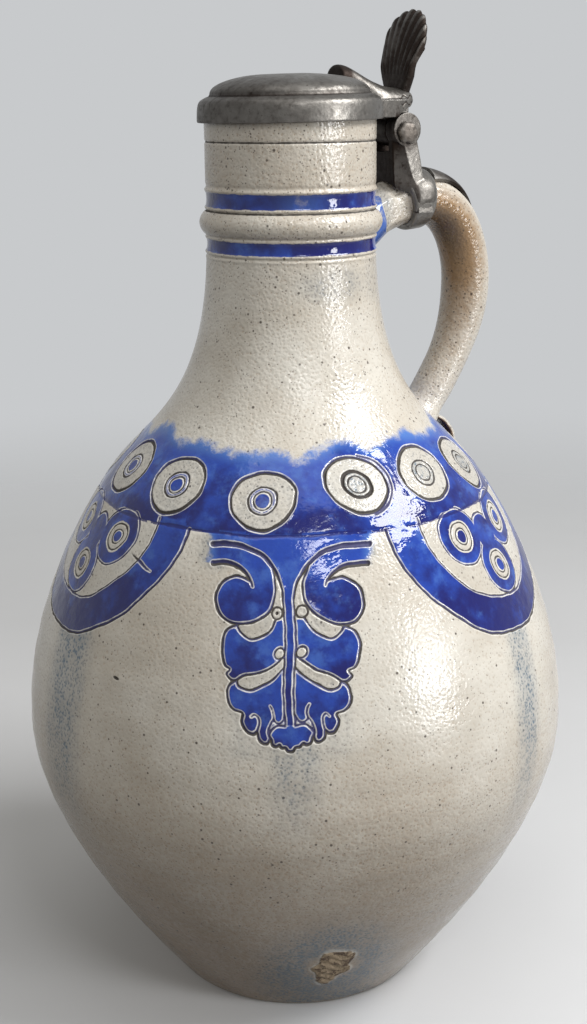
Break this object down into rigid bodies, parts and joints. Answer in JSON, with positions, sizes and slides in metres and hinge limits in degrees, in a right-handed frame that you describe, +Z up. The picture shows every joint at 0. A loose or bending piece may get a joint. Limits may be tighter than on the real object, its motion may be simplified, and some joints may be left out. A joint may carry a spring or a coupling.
{
  "type": "stoneware jug",
  "caption": "Bulbous salt-glazed stoneware jug with a tall neck, a loop handle and a pewter lid that swings open on a hinge when its shell thumbpiece is pressed.",
  "frame": {"origin": "centre of the flat base on which the jug stands", "axes": "+Z up along the jug's axis, +X towards the handle and the lid hinge, Y along the hinge pin"},
  "size_m": [0.2392, 0.2392, 0.425],
  "materials": {
    "stoneware": "salt glaze, grey-beige with cobalt blue decoration",
    "pewter": "dull grey cast pewter, worn",
    "pin_iron": "dark iron"
  },
  "bodies": {
    "jug": {"jug_body": "stoneware", "jug_handle": "stoneware", "handle_ring": "pewter", "handle_spur": "pewter", "hinge_post": "pewter", "hinge_pin": "pin_iron", "pin_burr": "pin_iron"},
    "lid": {"lid_cover": "pewter", "lid_tongue": "pewter", "thumbpiece": "pewter"}
  },
  "joints": [
    {"name": "lid_hinge", "type": "hinge", "parent": "jug", "child": "lid", "pos_m": [0.0508, 0, 0.3756], "axis": [0, 1, 0], "range_deg": [0, 105]}
  ]
}
